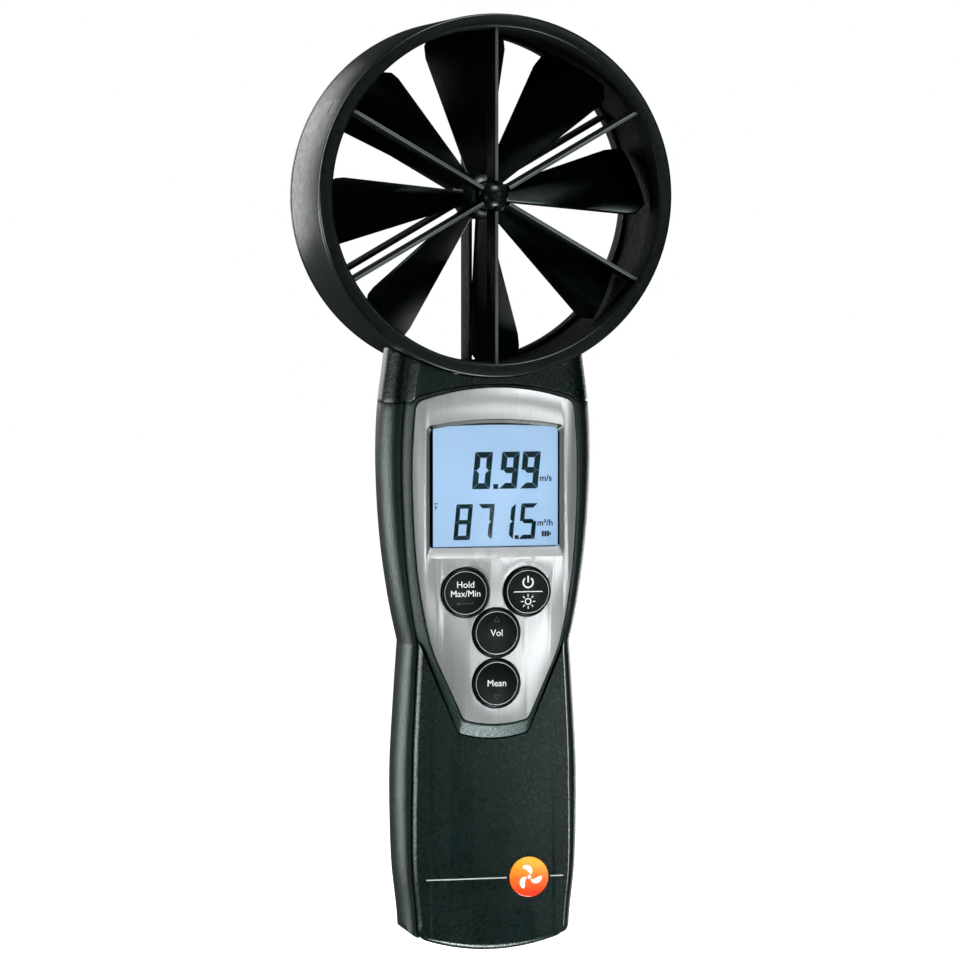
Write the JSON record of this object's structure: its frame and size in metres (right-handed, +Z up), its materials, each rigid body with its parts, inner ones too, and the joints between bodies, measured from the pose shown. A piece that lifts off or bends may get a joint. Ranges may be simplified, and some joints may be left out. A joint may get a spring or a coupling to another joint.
{
  "type": "vane anemometer",
  "caption": "Hand-held vane anemometer: an impeller in a guarded ring on a slim handset with a display, keys, silver faceplate and a sliding battery cover.",
  "frame": {"origin": "lowest point of the handle, midway between the front and rear planes of the ring", "axes": "+Z up the instrument from handle to ring, -Y is the side with the display, +X is to the right of someone reading the display"},
  "size_m": [0.1064, 0.045, 0.277],
  "materials": {
    "ring_black": "satin black moulded plastic",
    "blade_black": "thin moulded black plastic",
    "housing_black": "finely textured black, slightly green",
    "housing_grey": "finely textured dark grey",
    "gloss_black": "glossy black",
    "brushed_silver": "fine vertical brushing",
    "steel": "turned steel",
    "screw_dark": "blackened steel",
    "brass": "turned brass",
    "rubber_grey": "silicone rubber",
    "clear": "clear window",
    "screen_blue": "light blue backlit display",
    "board_green": "solder mask",
    "battery_case": "printed metal jacket",
    "badge_orange": "glossy orange",
    "lead_red": "insulated wire",
    "lead_black": "insulated wire"
  },
  "bodies": {
    "housing": {"vane_ring": "ring_black", "front_guard": "ring_black", "rear_guard": "ring_black", "front_hub_cap": "ring_black", "rear_hub_cap": "ring_black", "front_bearing": "brass", "rear_bearing": "brass", "spin_pickup": "lead_black", "temperature_probe": "steel", "neck_cradle": "housing_black", "upper_front_shell": "housing_black", "handle_front": "housing_black", "back_shell": "housing_grey", "faceplate": "brushed_silver", "badge": "badge_orange", "display_frame": "gloss_black", "display_window": "clear", "display_module": "screen_blue", "keypad_mat": "rubber_grey", "circuit_board": "board_green", "board_screw_1": "steel", "board_screw_2": "steel", "middle_screw_left": "screw_dark", "middle_screw_right": "screw_dark", "lower_screw_left": "screw_dark", "lower_screw_right": "screw_dark", "neck_screw_left": "screw_dark", "neck_screw_right": "screw_dark", "battery": "battery_case", "battery_clip": "lead_black", "battery_lead_red": "lead_red", "battery_lead_black": "lead_black", "pickup_lead": "lead_black", "probe_lead": "lead_black"},
    "impeller": {"impeller": "blade_black", "impeller_shaft": "steel"},
    "button_hold": {"button_hold": "gloss_black"},
    "button_power": {"button_power": "gloss_black"},
    "button_volume": {"button_volume": "gloss_black"},
    "button_mean": {"button_mean": "gloss_black"},
    "battery_cover": {"battery_cover": "housing_grey"}
  },
  "joints": [
    {"name": "impeller_spin", "type": "hinge", "parent": "housing", "child": "impeller", "pos_m": [0, 0, 0.2238], "axis": [0, 1, 0], "continuous": true},
    {"name": "button_hold_press", "type": "slide", "parent": "housing", "child": "button_hold", "axis": [0, 1, 0], "range_m": [0, 0.0008], "stiffness_N_per_m": 600, "springref_m": -0.001},
    {"name": "button_power_press", "type": "slide", "parent": "housing", "child": "button_power", "axis": [0, 1, 0], "range_m": [0, 0.0008], "stiffness_N_per_m": 600, "springref_m": -0.001},
    {"name": "button_volume_press", "type": "slide", "parent": "housing", "child": "button_volume", "axis": [0, 1, 0], "range_m": [0, 0.0008], "stiffness_N_per_m": 600, "springref_m": -0.001},
    {"name": "button_mean_press", "type": "slide", "parent": "housing", "child": "button_mean", "axis": [0, 1, 0], "range_m": [0, 0.0008], "stiffness_N_per_m": 600, "springref_m": -0.001},
    {"name": "battery_cover_slide", "type": "slide", "parent": "housing", "child": "battery_cover", "axis": [0, 0, -1], "range_m": [0, 0.07]}
  ]
}
